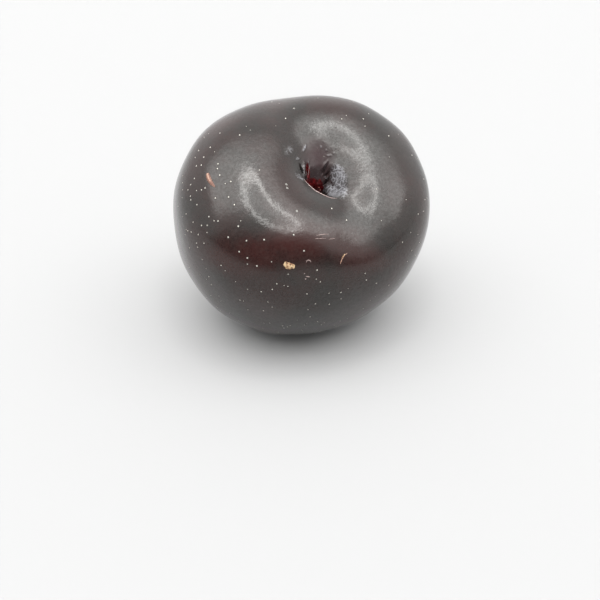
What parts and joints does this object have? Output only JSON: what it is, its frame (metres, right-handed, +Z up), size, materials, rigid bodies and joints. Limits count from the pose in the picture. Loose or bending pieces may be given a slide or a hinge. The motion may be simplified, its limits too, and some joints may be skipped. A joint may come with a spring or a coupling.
{
  "type": "plum",
  "caption": "Whole round plum with a sunken stem basin, a torn stem pit, a soft suture and a small flat spot that it rests on.",
  "frame": {"origin": "on the surface that the plum rests on, below the middle of its bounding box", "axes": "+Z up, +X to the right and -Y to the front as the picture shows it; the stem end tips forwards and up, and the suture runs to the back"},
  "size_m": [0.0606, 0.0584, 0.0536],
  "materials": {
    "skin": "satin, very dark maroon under a thin grey wax bloom, with pale pores and a few tan scars"
  },
  "bodies": {
    "root": {"plum": "skin"}
  },
  "joints": []
}
